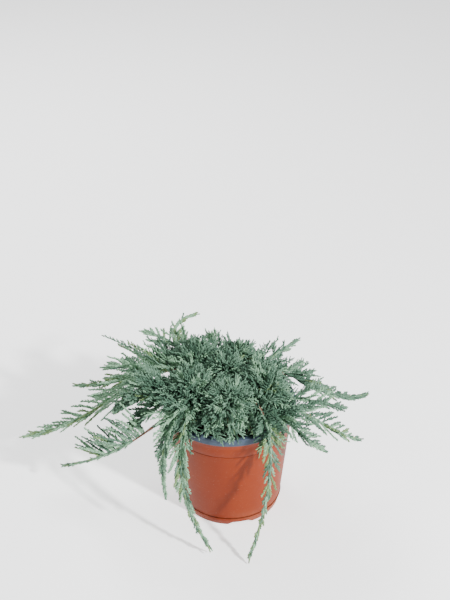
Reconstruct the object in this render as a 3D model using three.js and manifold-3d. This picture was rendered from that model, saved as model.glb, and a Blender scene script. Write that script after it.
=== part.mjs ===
// A blue creeping juniper in a round terracotta nursery pot with a grey-blue rim.
// Millimetres, +Z up. The origin is the centre of the pot's underside, and the front faces -Y.

import * as THREE from 'three';
import { mergeVertices } from 'three/addons/utils/BufferGeometryUtils.js';
import Module from 'manifold-3d';

const wasm = await Module();
wasm.setup();

// Pot
const POT_HEIGHT = 157;
const RIM_RADIUS = 85;
const COLLAR_HEIGHT = 9.6;
const COLLAR_PROUD = 3.3;
const COLLAR_ROUND = 2.2;
const WALL = 2.2;
const BAND_HEIGHT = 31.8;
const BAND_STEP = 0.8;
const FOOT_HEIGHT = 11.9;
const FOOT_TOP_RADIUS = 67.2;
const FOOT_RADIUS = 64.1;
const FOOT_RING_WIDTH = 9;
const FOOT_STEP = 0.7;
const FLOOR_LIFT = 5;
const FLOOR_THICKNESS = 2.4;
const HUB_RADIUS = 18;
const ARCH_COUNT = 4;
const ARCH_AZIMUTH = -79;
const ARCH_SPAN = 36;
const ARCH_SHOULDER = 8;
const ARCH_OVERCUT = 2;
const DRAIN_COUNT = 6;
const DRAIN_RADIUS = 4.5;
const DRAIN_SIDES = 8;
const DRAIN_RING_RADIUS = 36;
const POT_SIDES = 36;

// Growing medium, filled to a little below the rim
const MEDIUM_DROP = 20;
const MEDIUM_CROWN = 3;
const MEDIUM_RINGS = 2;

// Gap kept between neighbouring pieces, and between the lowest tips and the ground
const CLEARANCE = 0.3;
const GROUND_GAP = 2.5;

// Short stem in the middle of the crown, flat at the growing medium, with a root flare
const TRUNK_HEIGHT = 46;
const TRUNK_RADIUS = 6.6;
const TRUNK_TIP_RADIUS = 5.4;
const TRUNK_FLARE = 4.4;
const FLARE_HEIGHT = 6;
const TRUNK_LEAN = 3;
const TRUNK_SIDES = 10;
const TRUNK_STEPS = 7;

// Boughs leave the trunk in tiers, one above the other
const FIRST_TIER = 145.5;
const TIER_PITCH = 5.5;

// Where on its way out a shoot is drawn to its crest, and how its sideways bow is shared out
const CLIMB_SHARE = 0.35;
const CLIMB_SWAY = 0.4;
const BELLY_SWAY = 1.2;

// Limbs
const BOUGH_ROOT_RADIUS = 1.9;
const BOUGH_TIP_RADIUS = 1.7;
const STEM_TIP_RADIUS = 0.7;
const BOUGH_SIDES = 5;
const STEM_SIDES = 3;
const LIMB_STEP = 16;

// Foliage: sprays leave the stem, and branchlets stand out of each spray
const SPRAY_SPACING = 11.2;
const SHORT_SHOOT_SPACING = 6.5;
const FIRST_SPRAY = 0.04;
const LAST_SPRAY = 0.96;
const SPRAY_SHIFT = 0.5;
const SPRAY_RADIUS = 2.8;
const SPRAY_LEAN = 44;
const SPRAY_SHORTEST = 12;
const SPRAY_SHARES = [1, 0.8, 0.6, 0.45];
const TIP_SHARE = 0.15;
const LEAN_JITTER = 16;
const LENGTH_JITTER = 0.15;
const BRANCHLET_SPACING = 12;
const BRANCHLET_FIRST = 9;
const BRANCHLET_LAST = 8;
const BRANCHLET_LENGTH = 16;
const BRANCHLET_RADIUS = 2.2;
const BRANCHLET_SHARES = [1, 0.75];
const BRANCHLET_LEAN = 38;
const BRANCHLET_ROLL = 60;
const SPINDLE_SIDES = 3;
const ROOT_DEPTH = 0.8;
const SWELL = 0.38;

// The same few numbers give the same random draws on each run
const SEED_STEP = 104729;
const TWIG_SEEDS = 100;
const MULTIPLIER = 16807;
const MODULUS = 2147483647;

// A new spindle is tried at these shares of its length, with a radius that narrows towards its tip
const SPACE_SHARES = [0.25, 0.5, 0.75, 1];
const SPACE_NARROWING = 1.3;
const CLEAR_SHARES = [0.4, 0.6, 0.8, 1];
const CLEAR_NARROWING = 1.2;

// In the mound over the pot the sprays stand up all round, and past the rim they lie flatter
const MOUND_RADIUS = 60;
const OPEN_RADIUS = 115;
const MOUND_TILT = 75;
const MOUND_SPREAD = 120;
const MOUND_LEAN = 58;
const MOUND_SPRAY_RADIUS = 3.3;
const OPEN_SPREAD = 40;

// A round mass of the mound has a lumpy core with sprays standing out of it all round
const CORE_RADIUS = 26;
const CORE_LEAST = 8;
const CORE_SHRINK = 0.95;
const CORE_STRETCH = 1.15;
const CORE_HEIGHT = 0.42;
const CORE_RISE = 0.5;
const CORE_LUMPS = 0.14;
const LUMPS_ALONG = 5;
const LUMPS_ACROSS = 4;
const LUMPS_UP = 6;
const CORE_SHARE = 0.62;
const CORE_MARGIN = 0.3;
const GOLDEN_ANGLE = 137.5;
const ROUND_SPRAYS = 36;
const ROUND_BELOW = 0.15;
const ROUND_START = 0.4;
const TRAIL_SPRAYS = 14;
const TRAIL_LENGTH = 27;

// One row for each mass of foliage. Angles are in degrees, with 0 to the right and -90 to the
// front, and lengths in millimetres. A shoot leaves the trunk at its tier, climbs towards crest
// and falls to tip at reach from the pot's axis. ease says how early it falls, belly how far out,
// and swing bows it sideways. The first share of its length, bare, is its bough. fan is the
// length of its longest sprays, and tilt how far they turn up from lying flat. Where given, lean
// is how far the first of them lean from the stem, keep the share of their length left at the tip,
// and last where on the leafy part of the stem the last of them stands.
const SHOOTS = [
  { name: 'left_long', azimuth: 173.7, reach: 276, tip: 75, crest: 247, ease: 1.08, belly: 0.6,
    swing: -45, tier: 5.2, bare: 0.25, fan: 88, tilt: 22 },
  { name: 'left_second', azimuth: 165, reach: 212, tip: 140, crest: 232, ease: 1.05, belly: 0.52,
    swing: -25, tier: 4.1, bare: 0.3, fan: 54, tilt: 14 },
  { name: 'left_upper', azimuth: 150, reach: 188, tip: 142, crest: 197, ease: 0.6, belly: 0.7,
    swing: 0, tier: 2.7, bare: 0.36, fan: 48, tilt: 12, keep: 0.45 },
  { name: 'left_low', azimuth: 178.8, reach: 224, tip: 45, crest: 211, ease: 0.32, belly: 0.35,
    swing: 92, tier: 0, bare: 0.58, fan: 46, tilt: 80, lean: 105, keep: 0.9, last: 0.66 },
  { name: 'left_front', azimuth: 192, reach: 146, tip: 162, crest: 206, ease: 0.5, belly: 0.7,
    swing: 0, tier: 3, bare: 0.46, fan: 60, tilt: 50 },
  { name: 'left_front_low', azimuth: 201, reach: 134, tip: 146, crest: 202, ease: 0.4, belly: 0.72,
    swing: 0, tier: 1, bare: 0.44, fan: 54, tilt: 40 },
  { name: 'left_rear_low', azimuth: 143, reach: 182, tip: 108, crest: 200, ease: 0.6, belly: 0.7,
    swing: 0, tier: 0, bare: 0.38, fan: 52, tilt: 15 },
  { name: 'back_left_fan', azimuth: 132, reach: 165, tip: 180, crest: 194, ease: 0.5, belly: 0.7,
    swing: 0, tier: 3.5, bare: 0.42, fan: 46, tilt: 8, keep: 0.35 },
  { name: 'back_left_arc', azimuth: 109, reach: 136, tip: 203, crest: 190, ease: 0.3, belly: 0.95,
    swing: 62, tier: 1.9, bare: 0.42, fan: 34, tilt: 15 },
  { name: 'back_left_low', azimuth: 119, reach: 164, tip: 92, crest: 202, ease: 0.5, belly: 0.74,
    swing: 0, tier: 1, bare: 0.42, fan: 52, tilt: 15 },
  { name: 'back_mid', azimuth: 103, reach: 112, tip: 178, crest: 190, ease: 0.6, belly: .66,
    swing: 0, tier: 5, bare: 0.42, fan: 34, tilt: 12, keep: 0.5 },
  { name: 'back_hang', azimuth: 86, reach: 126, tip: 52, crest: 196, ease: 0.05, belly: 0.82,
    swing: 0, tier: 2, bare: 0.46, fan: 46, tilt: 12 },
  { name: 'back_right_low', azimuth: 61, reach: 156, tip: 98, crest: 200, ease: 0.5, belly: 0.74,
    swing: 0, tier: 0, bare: 0.44, fan: 46, tilt: 15 },
  { name: 'back_right', azimuth: 47, reach: 132, tip: 178, crest: 180, ease: 0.6, belly: 0.79,
    swing: 0, tier: 3, bare: 0.48, fan: 28, tilt: 8 },
  { name: 'right_rear_low', azimuth: 40, reach: 110, tip: 150, crest: 180, ease: 0.6, belly: 0.7,
    swing: 0, tier: 1, bare: 0.42, fan: 26, tilt: 12 },
  { name: 'right_upper', azimuth: 19.4, reach: 195, tip: 112, crest: 242, ease: 1.1, belly: 0.67,
    swing: -5, tier: 4, bare: 0.34, fan: 40, tilt: 12 },
  { name: 'right_mid', azimuth: 0, reach: 149, tip: 140, crest: 186, ease: 0.2, belly: 0.8,
    swing: -36, tier: 1, bare: 0.44, fan: 42, tilt: 22 },
  { name: 'right_low', azimuth: -9, reach: 168, tip: 108, crest: 200, ease: 0.5, belly: 0.74,
    swing: -40, tier: 2, bare: 0.42, fan: 46, tilt: 20 },
  { name: 'right_lowest', azimuth: -31, reach: 136, tip: 128, crest: 205, ease: 0.5, belly: 0.73,
    swing: -24, tier: 0, bare: 0.46, fan: 48, tilt: 20 },
  { name: 'hang_right', azimuth: -81, reach: 137, tip: 10, crest: 222, ease: 0.14, belly: 0.9,
    swing: 52, tier: 3, bare: 0.44, fan: 36, tilt: 12 },
  { name: 'hang_left', azimuth: -102.4, reach: 123, tip: 12, crest: 248, ease: 0.44, belly: 0.98,
    swing: -66, tier: 3, bare: 0.44, fan: 42, tilt: 12 },
  { name: 'hang_left_outer', azimuth: -127, reach: 134, tip: 88, crest: 206, ease: 0.04, belly: 0.9,
    swing: -24, tier: 2, bare: 0.4, fan: 54, tilt: 12 },
  { name: 'front_right', azimuth: -69, reach: 84, tip: 166, crest: 186, ease: 0.4, belly: 0.7,
    swing: 0, tier: 1, bare: 0.3, fan: 34, tilt: 30 },
  { name: 'front_short', azimuth: -90, reach: 88, tip: 162, crest: 188, ease: 0.4, belly: 0.8,
    swing: 0, tier: 0, bare: 0.3, fan: 34, tilt: 15 },
  { name: 'front_left', azimuth: -110, reach: 84, tip: 166, crest: 186, ease: 0.4, belly: 0.7,
    swing: 0, tier: 1, bare: 0.3, fan: 34, tilt: 30 },
  { name: 'mound_top', azimuth: 110, reach: 16, tip: 196, crest: 192, ease: 0, belly: 0.7,
    swing: 0, tier: 6, bare: 0, fan: 25, round: true },
  { name: 'mound_front', azimuth: -92, reach: 82, tip: 178, crest: 194, ease: 0, belly: 0.7,
    swing: 0, tier: 6, bare: 0, fan: 34, round: true },
  { name: 'mound_front_right', azimuth: -38, reach: 84, tip: 176, crest: 192, ease: 0, belly: 0.7,
    swing: 0, tier: 6, bare: 0, fan: 34, round: true },
  { name: 'mound_right', azimuth: -14, reach: 60, tip: 178, crest: 194, ease: 0, belly: 0.7,
    swing: 0, tier: 6, bare: 0, fan: 28, round: true },
  { name: 'mound_back', azimuth: 74, reach: 74, tip: 170, crest: 190, ease: 0, belly: 0.7,
    swing: 0, tier: 6, bare: 0, fan: 26, round: true },
  { name: 'mound_left', azimuth: 140, reach: 86, tip: 182, crest: 196, ease: 0, belly: 0.7,
    swing: 0, tier: 6, bare: 0, fan: 32, round: true },
  { name: 'mound_front_left', azimuth: -148, reach: 88, tip: 178, crest: 194, ease: 0, belly: 0.7,
    swing: 0, tier: 6, bare: 0, fan: 34, round: true },
];

// Colours of the real surfaces
const COLOURS = {
  terracotta: new THREE.MeshStandardMaterial({ color: 0xa6583a, roughness: 0.5 }),
  medium: new THREE.MeshStandardMaterial({ color: 0x2f251e, roughness: 1 }),
  bark: new THREE.MeshStandardMaterial({ color: 0x8a5f4c, roughness: 0.8 }),
  foliage: new THREE.MeshStandardMaterial({ color: 0x6c8875, roughness: 0.85 }),
};

const MEDIUM_TOP = POT_HEIGHT - MEDIUM_DROP;
const COLLAR_BOTTOM = POT_HEIGHT - COLLAR_HEIGHT;
const GROOVE_HEIGHT = POT_HEIGHT - BAND_HEIGHT;
const WALL_TOP_RADIUS = RIM_RADIUS - COLLAR_PROUD;
const FLOOR_TOP = FLOOR_LIFT + FLOOR_THICKNESS;
const TRUNK_FOOT = MEDIUM_TOP + MEDIUM_CROWN + CLEARANCE;

// Small helpers

function radians(degrees) {
  return THREE.MathUtils.degToRad(degrees);
}

function seededRandom(seed) {
  let state = seed * SEED_STEP;
  return () => {
    state = (state * MULTIPLIER) % MODULUS;
    return state / MODULUS;
  };
}

function polar(azimuth, radius, height) {
  return new THREE.Vector3(
    radius * Math.cos(radians(azimuth)), radius * Math.sin(radians(azimuth)), height);
}

// A geometry as a solid: shared corners are merged and empty faces dropped.
function toSolid(geometry) {
  geometry.deleteAttribute('normal');
  geometry.deleteAttribute('uv');
  const merged = mergeVertices(geometry, 1e-4);
  const corners = merged.index.array;
  const triVerts = [];
  for (let i = 0; i < corners.length; i += 3) {
    const [a, b, c] = corners.slice(i, i + 3);
    if (a !== b && b !== c && c !== a) triVerts.push(a, b, c);
  }
  return new wasm.Manifold(new wasm.Mesh({
    numProp: 3,
    vertProperties: merged.attributes.position.array,
    triVerts: new Uint32Array(triVerts),
  }));
}

function toGeometry(solid) {
  const mesh = solid.getMesh();
  const geometry = new THREE.BufferGeometry();
  geometry.setAttribute('position', new THREE.BufferAttribute(mesh.vertProperties, 3));
  geometry.setIndex(new THREE.BufferAttribute(mesh.triVerts, 1));
  geometry.computeVertexNormals();
  return geometry;
}

function joinAll(solids) {
  if (solids.length === 1) return solids[0];
  const half = Math.ceil(solids.length / 2);
  return joinAll(solids.slice(0, half)).add(joinAll(solids.slice(half)));
}

// A turned solid with its axis on +Z, from points of radius and height
function turned(profile, sides) {
  const points = profile.map(([radius, height]) => new THREE.Vector2(radius, height));
  return toSolid(new THREE.LatheGeometry(points, sides).rotateX(Math.PI / 2));
}

// Points on a quarter arc, between two angles in degrees
function arc(centreRadius, centreHeight, radius, from, to) {
  const steps = 3;
  return Array.from({ length: steps + 1 }, (_, i) => {
    const angle = radians(from + (to - from) * i / steps);
    return [centreRadius + radius * Math.cos(angle), centreHeight + radius * Math.sin(angle)];
  });
}

// Pot

function wallRadius(height) {
  const share = (height - FOOT_HEIGHT) / (COLLAR_BOTTOM - FOOT_HEIGHT);
  return FOOT_TOP_RADIUS + share * (WALL_TOP_RADIUS - FOOT_TOP_RADIUS);
}

function innerRadius(height) {
  return wallRadius(Math.min(height, COLLAR_BOTTOM)) - BAND_STEP - WALL;
}

// The low arch through the foot ring that lets water drain away
function drainArch(azimuth) {
  const outline = new THREE.Shape();
  outline.moveTo(-ARCH_SPAN / 2, -ARCH_OVERCUT);
  outline.lineTo(-ARCH_SPAN / 2, 0);
  outline.lineTo(-ARCH_SPAN / 2 + ARCH_SHOULDER, FLOOR_LIFT);
  outline.lineTo(ARCH_SPAN / 2 - ARCH_SHOULDER, FLOOR_LIFT);
  outline.lineTo(ARCH_SPAN / 2, 0);
  outline.lineTo(ARCH_SPAN / 2, -ARCH_OVERCUT);
  const length = 2 * FOOT_RING_WIDTH;
  const cutter = new THREE.ExtrudeGeometry(outline, { depth: length, bevelEnabled: false });
  cutter.rotateX(Math.PI / 2);
  cutter.translate(0, ARCH_OVERCUT + FOOT_RING_WIDTH - FOOT_RADIUS, 0);
  cutter.rotateZ(radians(azimuth + 90));
  return toSolid(cutter);
}

function drainHole(azimuth) {
  const hole = new THREE.CylinderGeometry(DRAIN_RADIUS, DRAIN_RADIUS, 2 * FLOOR_TOP, DRAIN_SIDES);
  hole.rotateX(Math.PI / 2);
  const { x, y } = polar(azimuth, DRAIN_RING_RADIUS, 0);
  hole.translate(x, y, FLOOR_TOP);
  return toSolid(hole);
}

function makePot() {
  const profile = [
    [0, 0],
    [HUB_RADIUS, 0],
    [HUB_RADIUS, FLOOR_LIFT],
    [FOOT_RADIUS - FOOT_RING_WIDTH, FLOOR_LIFT],
    [FOOT_RADIUS - FOOT_RING_WIDTH, 0],
    [FOOT_RADIUS, 0],
    [FOOT_TOP_RADIUS, FOOT_HEIGHT],
    [FOOT_TOP_RADIUS - FOOT_STEP, FOOT_HEIGHT + FOOT_STEP],
    [wallRadius(GROOVE_HEIGHT) - BAND_STEP, GROOVE_HEIGHT - BAND_STEP],
    [wallRadius(GROOVE_HEIGHT), GROOVE_HEIGHT],
    [WALL_TOP_RADIUS, COLLAR_BOTTOM],
    [RIM_RADIUS, COLLAR_BOTTOM],
    ...arc(RIM_RADIUS - COLLAR_ROUND, POT_HEIGHT - COLLAR_ROUND, COLLAR_ROUND, 0, 90),
    [innerRadius(POT_HEIGHT), POT_HEIGHT],
    [innerRadius(COLLAR_BOTTOM), COLLAR_BOTTOM],
    [innerRadius(FLOOR_TOP), FLOOR_TOP],
    [0, FLOOR_TOP],
  ];
  let pot = turned(profile, POT_SIDES);
  for (let i = 0; i < ARCH_COUNT; i++) {
    pot = pot.subtract(drainArch(ARCH_AZIMUTH + i * 360 / ARCH_COUNT));
  }
  for (let i = 0; i < DRAIN_COUNT; i++) {
    pot = pot.subtract(drainHole(ARCH_AZIMUTH + i * 360 / DRAIN_COUNT));
  }
  return pot;
}

function makeMedium() {
  const bottom = FLOOR_TOP + CLEARANCE;
  const edge = innerRadius(MEDIUM_TOP) - 2 * CLEARANCE;
  const crown = Array.from({ length: MEDIUM_RINGS }, (_, i) => {
    const share = 1 - i / MEDIUM_RINGS;
    return [edge * share, MEDIUM_TOP + MEDIUM_CROWN * (1 - share * share)];
  });
  const profile = [
    [0, bottom],
    [innerRadius(bottom) - 2 * CLEARANCE, bottom],
    ...crown,
    [0, MEDIUM_TOP + MEDIUM_CROWN],
  ];
  return turned(profile, POT_SIDES);
}

// Limbs

// The trunk's radius at a share of its height, with extra for clearance
function trunkRadius(share, extra) {
  const flare = TRUNK_FLARE * Math.exp(-share * TRUNK_HEIGHT / FLARE_HEIGHT);
  return THREE.MathUtils.lerp(TRUNK_RADIUS, TRUNK_TIP_RADIUS, share) + flare + extra;
}

function makeTrunk(extra) {
  const height = TRUNK_HEIGHT + extra;
  const shape = new THREE.CylinderGeometry(1, 1, height, TRUNK_SIDES, TRUNK_STEPS);
  shape.translate(0, height / 2, 0).rotateX(Math.PI / 2);
  const corners = shape.attributes.position;
  for (let i = 0; i < corners.count; i++) {
    const rise = corners.getZ(i);
    const radius = trunkRadius(rise / height, extra);
    const lean = rise * Math.tan(radians(TRUNK_LEAN));
    corners.setXYZ(i, corners.getX(i) * radius - lean, corners.getY(i) * radius, TRUNK_FOOT + rise);
  }
  return toSolid(shape);
}

// The path of a shoot, from the trunk's axis to its furthest tip
function shootRoute(shoot) {
  const out = polar(shoot.azimuth, 1, 0);
  const side = polar(shoot.azimuth + 90, 1, 0);
  const root = FIRST_TIER + shoot.tier * TIER_PITCH;
  const lean = (root - TRUNK_FOOT) * Math.tan(radians(TRUNK_LEAN));
  const place = (share, sway, height) => new THREE.Vector3(0, 0, height)
    .addScaledVector(out, shoot.reach * share)
    .addScaledVector(side, shoot.swing * sway);
  return new THREE.CubicBezierCurve3(
    new THREE.Vector3(-lean, 0, root),
    place(CLIMB_SHARE, CLIMB_SWAY, shoot.crest),
    place(shoot.belly, BELLY_SWAY, shoot.crest - shoot.ease * (shoot.crest - shoot.tip)),
    place(1, 0, shoot.tip));
}

// Where along a route a point a given distance further lies
function stepAlong(route, share, distance) {
  const nearby = 0.001;
  const speed = route.getPoint(share).distanceTo(route.getPoint(share + nearby)) / nearby;
  return share + distance / speed;
}

// The directions at a point of a shoot: along it, level to its left, and up out of it
function frameAt(route, share, azimuth) {
  const along = route.getTangent(share);
  const side = polar(azimuth + 90, 1, 0);
  side.addScaledVector(along, -side.dot(along)).normalize();
  const lift = new THREE.Vector3().crossVectors(along, side);
  return { along, side, lift };
}

function limbSteps(route, from, to) {
  return Math.max(2, Math.round(route.getPoint(from).distanceTo(route.getPoint(to)) / LIMB_STEP));
}

// The middle of a limb at a share of its route, on the straight steps that it is made of
function middleOfLimb(route, from, to, share) {
  const steps = limbSteps(route, from, to);
  const place = THREE.MathUtils.clamp((share - from) / (to - from), 0, 1) * steps;
  const step = Math.min(Math.floor(place), steps - 1);
  const stop = (index) => route.getPoint(from + (to - from) * index / steps);
  return stop(step).lerp(stop(step + 1), place - step);
}

// A tapering limb: a cylinder bent along part of a route
function makeLimb(route, azimuth, from, to, rootRadius, tipRadius, sides) {
  const steps = limbSteps(route, from, to);
  const shape = new THREE.CylinderGeometry(tipRadius, rootRadius, 1, sides, steps);
  const corners = shape.attributes.position;
  for (let i = 0; i < corners.count; i++) {
    const share = from + (to - from) * (corners.getY(i) + 0.5);
    const { side, lift } = frameAt(route, share, azimuth);
    const corner = route.getPoint(share)
      .addScaledVector(side, corners.getX(i))
      .addScaledVector(lift, -corners.getZ(i));
    corners.setXYZ(i, corner.x, corner.y, corner.z);
  }
  return toSolid(shape);
}

// Space: each mass keeps to the points that are nearer its own stem than any other

function distanceToPath(point, path) {
  const nearest = new THREE.Vector3();
  let best = Infinity;
  for (let i = 1; i < path.length; i++) {
    new THREE.Line3(path[i - 1], path[i]).closestPointToPoint(point, true, nearest);
    best = Math.min(best, nearest.distanceTo(point));
  }
  return best;
}

function pathOf(route, from, to) {
  const steps = 12;
  return Array.from({ length: steps + 1 }, (_, i) => route.getPoint(from + (to - from) * i / steps));
}

function clearOfPot(point, margin) {
  const radius = Math.hypot(point.x, point.y);
  if (point.z > POT_HEIGHT + margin || radius > RIM_RADIUS + margin) {
    return point.z > GROUND_GAP + margin;
  }
  return radius < innerRadius(MEDIUM_TOP) - margin && point.z > TRUNK_FOOT + margin;
}

function clearOfTrunk(point, margin) {
  const rise = point.z - TRUNK_FOOT;
  if (rise > TRUNK_HEIGHT + margin) return true;
  const lean = rise * Math.tan(radians(TRUNK_LEAN));
  const share = THREE.MathUtils.clamp(rise / TRUNK_HEIGHT, 0, 1);
  return Math.hypot(point.x + lean, point.y) > trunkRadius(share, margin);
}

function keepsToItsSpace(point, radius, mass, masses) {
  const margin = radius + CLEARANCE;
  if (!clearOfPot(point, margin) || !clearOfTrunk(point, margin)) return false;
  const own = distanceToPath(point, mass.stem);
  return masses.every((other) => {
    if (distanceToPath(point, other.bough) < margin + BOUGH_ROOT_RADIUS) return false;
    return other === mass || distanceToPath(point, other.stem) - own > 2 * margin;
  });
}

// Foliage

// A spray or branchlet: a three-sided spindle, its root sunk past the middle of what bears it
function makeSpindle(start, to, radius) {
  const direction = to.clone().sub(start).normalize();
  const from = start.clone().addScaledVector(direction, -ROOT_DEPTH);
  const length = from.distanceTo(to);
  const profile = [[0, 0], [radius, SWELL * length], [0, length]];
  const points = profile.map(([across, up]) => new THREE.Vector2(across, up));
  const shape = new THREE.LatheGeometry(points, SPINDLE_SIDES);
  const turn = new THREE.Quaternion().setFromUnitVectors(new THREE.Vector3(0, 1, 0), direction);
  shape.applyQuaternion(turn).translate(from.x, from.y, from.z);
  return toSolid(shape);
}

// Whether a new spindle, past its sunk root, stays clear of what the mass already holds
function clearOfSprays(from, to, radius, grown, parent) {
  return CLEAR_SHARES.every((share) => {
    const point = from.clone().lerp(to, share);
    return grown.every((piece) => piece === parent
      || distanceToPath(point, [piece.from, piece.to])
        > radius * (CLEAR_NARROWING - share) + piece.radius);
  });
}

function tryToGrow(from, direction, length, radius, mass, masses, parent) {
  for (const share of parent ? BRANCHLET_SHARES : SPRAY_SHARES) {
    const to = from.clone().addScaledVector(direction, length * share);
    const free = SPACE_SHARES.every((along) =>
      keepsToItsSpace(
        from.clone().lerp(to, along), radius * (SPACE_NARROWING - along), mass, masses));
    if (free && clearOfSprays(from, to, radius, mass.grown, parent)) {
      const piece = { from, to, radius };
      mass.grown.push(piece);
      return piece;
    }
  }
  return null;
}

// A direction leaning away from one axis, turned about it by an angle from a second axis
function leaning(axis, across, beyond, lean, turn) {
  return axis.clone().multiplyScalar(Math.cos(lean))
    .addScaledVector(across, Math.sin(lean) * Math.cos(turn))
    .addScaledVector(beyond, Math.sin(lean) * Math.sin(turn));
}

function jittered(length, random) {
  return length * (1 + LENGTH_JITTER * (2 * random() - 1));
}

function growSpray(mass, masses, share, index, random, twigRandom) {
  const { shoot, route } = mass;
  const { along, side, lift } = frameAt(route, share, shoot.azimuth);
  const hand = index % 2 ? 1 : -1;
  const root = middleOfLimb(route, shoot.bare, 1, share);
  const open = THREE.MathUtils.smoothstep(Math.hypot(root.x, root.y), MOUND_RADIUS, OPEN_RADIUS);
  const tilt = THREE.MathUtils.lerp(MOUND_TILT, shoot.tilt, open);
  const spread = THREE.MathUtils.lerp(MOUND_SPREAD, OPEN_SPREAD, open);
  const turn = radians(90 - hand * (90 - tilt - spread * (random() - 0.5)));
  const leafy = (share - shoot.bare) / (1 - shoot.bare);
  const openLean = THREE.MathUtils.lerp(shoot.lean ?? SPRAY_LEAN, SPRAY_LEAN, leafy);
  const lean = radians(
    THREE.MathUtils.lerp(MOUND_LEAN, openLean, open) + LEAN_JITTER * (random() - 0.5));
  const direction = leaning(along, side, lift, lean, turn);
  const taper = THREE.MathUtils.lerp(1, shoot.keep ?? TIP_SHARE, leafy);
  const length = Math.max(SPRAY_SHORTEST, jittered(shoot.fan * taper, random));
  const radius = THREE.MathUtils.lerp(MOUND_SPRAY_RADIUS, SPRAY_RADIUS, open);
  const spray = tryToGrow(root, direction, length, radius, mass, masses);
  if (spray) growBranchlets(mass, masses, spray, along, twigRandom);
}

function growBranchlets(mass, masses, spray, along, random) {
  const axis = spray.to.clone().sub(spray.from);
  const length = axis.length();
  axis.normalize();
  const across = along.clone().addScaledVector(axis, -along.dot(axis)).normalize();
  const beyond = new THREE.Vector3().crossVectors(axis, across);
  let opposite = 0;
  for (let at = length - BRANCHLET_LAST; at > BRANCHLET_FIRST; at -= BRANCHLET_SPACING) {
    const turn = radians(opposite + BRANCHLET_ROLL * (random() - 0.5));
    const direction = leaning(axis, across, beyond, radians(BRANCHLET_LEAN), turn);
    const from = spray.from.clone().addScaledVector(axis, at);
    tryToGrow(from, direction, BRANCHLET_LENGTH, BRANCHLET_RADIUS, mass, masses, spray);
    opposite = 180 - opposite;
  }
}

// A lumpy cushion of unit size
function coreShape() {
  const shape = new THREE.IcosahedronGeometry(1, 1);
  const corners = shape.attributes.position;
  for (let i = 0; i < corners.count; i++) {
    const corner = new THREE.Vector3().fromBufferAttribute(corners, i);
    const lump = Math.sin(LUMPS_ALONG * corner.x + 1) * Math.sin(LUMPS_ACROSS * corner.y + 2)
      * Math.cos(LUMPS_UP * corner.z);
    corner.multiplyScalar(1 + CORE_LUMPS * lump);
    corners.setXYZ(i, corner.x, corner.y, corner.z);
  }
  return shape;
}

// The largest core resting on the stem that keeps to the mass's own space
function makeCore(mass, masses, foot) {
  for (let radius = CORE_RADIUS; radius > CORE_LEAST; radius *= CORE_SHRINK) {
    const half = radius * CORE_HEIGHT;
    const shape = coreShape().scale(radius * CORE_STRETCH, radius, half);
    shape.rotateZ(radians(mass.shoot.azimuth));
    shape.translate(foot.x, foot.y, foot.z + half * CORE_RISE);
    const corners = shape.attributes.position;
    const points = Array.from({ length: corners.count },
      (_, i) => new THREE.Vector3().fromBufferAttribute(corners, i));
    if (points.every((point) => keepsToItsSpace(point, CORE_MARGIN, mass, masses))) {
      return toSolid(shape);
    }
  }
  return null;
}

// A round mass: sprays stand out of its core all round and upwards, and others all along its stem
function growRound(mass, masses, random) {
  const foot = middleOfLimb(mass.route, mass.shoot.bare, 1, CORE_SHARE);
  for (let i = 0; i < ROUND_SPRAYS; i++) {
    const height = 1 - (1 + ROUND_BELOW) * (i + 0.5) / ROUND_SPRAYS;
    const direction = polar(GOLDEN_ANGLE * i, Math.sqrt(1 - height * height), height);
    const length = jittered(mass.shoot.fan, random);
    tryToGrow(foot, direction, length, MOUND_SPRAY_RADIUS, mass, masses);
  }
  for (let i = 0; i < TRAIL_SPRAYS; i++) {
    const share = THREE.MathUtils.lerp(ROUND_START, LAST_SPRAY, (i + 0.5) / TRAIL_SPRAYS);
    const { along, side, lift } = frameAt(mass.route, share, mass.shoot.azimuth);
    const direction = leaning(along, side, lift, radians(MOUND_LEAN), radians(GOLDEN_ANGLE * i));
    const root = middleOfLimb(mass.route, mass.shoot.bare, 1, share);
    tryToGrow(root, direction, TRAIL_LENGTH, MOUND_SPRAY_RADIUS, mass, masses);
  }
  return makeCore(mass, masses, foot);
}

// A long mass: sprays on either hand all along the stem, and no core
function growAlong(mass, masses, random, twigRandom) {
  const { shoot, route } = mass;
  const last = shoot.last ?? LAST_SPRAY;
  const spacing = shoot.reach < OPEN_RADIUS ? SHORT_SHOOT_SPACING : SPRAY_SPACING;
  const count = Math.round(route.getLength() * (1 - shoot.bare) / spacing);
  for (let i = 0; i < count; i++) {
    const place = THREE.MathUtils.lerp(FIRST_SPRAY, last, (i + SPRAY_SHIFT * random()) / count);
    const share = THREE.MathUtils.lerp(shoot.bare, 1, place);
    growSpray(mass, masses, share, i, random, twigRandom);
  }
  return null;
}

function growMass(mass, masses, seed) {
  const { shoot, route } = mass;
  const random = seededRandom(seed);
  const twigRandom = seededRandom(seed + TWIG_SEEDS);
  const core = (shoot.round ? growRound : growAlong)(mass, masses, random, twigRandom);
  const start = shoot.bare ? stepAlong(route, shoot.bare, CLEARANCE / 2) : 0;
  const stem = makeLimb(
    route, shoot.azimuth, start, 1, BOUGH_TIP_RADIUS, STEM_TIP_RADIUS, STEM_SIDES);
  const spindles = mass.grown.map((piece) => makeSpindle(piece.from, piece.to, piece.radius));
  return joinAll([stem, ...(core ? [core] : []), ...spindles]);
}

// Assembly

const juniper = new THREE.Group();

function addPiece(name, solid, material) {
  const piece = new THREE.Mesh(toGeometry(solid), material.clone());
  piece.name = name;
  juniper.add(piece);
}

const masses = SHOOTS.map((shoot) => {
  const route = shootRoute(shoot);
  return {
    shoot,
    route,
    bough: pathOf(route, 0, shoot.bare || ROUND_START),
    stem: pathOf(route, shoot.bare || ROUND_START, 1),
    grown: [],
  };
});

const trunkWithGap = makeTrunk(CLEARANCE);

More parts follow.
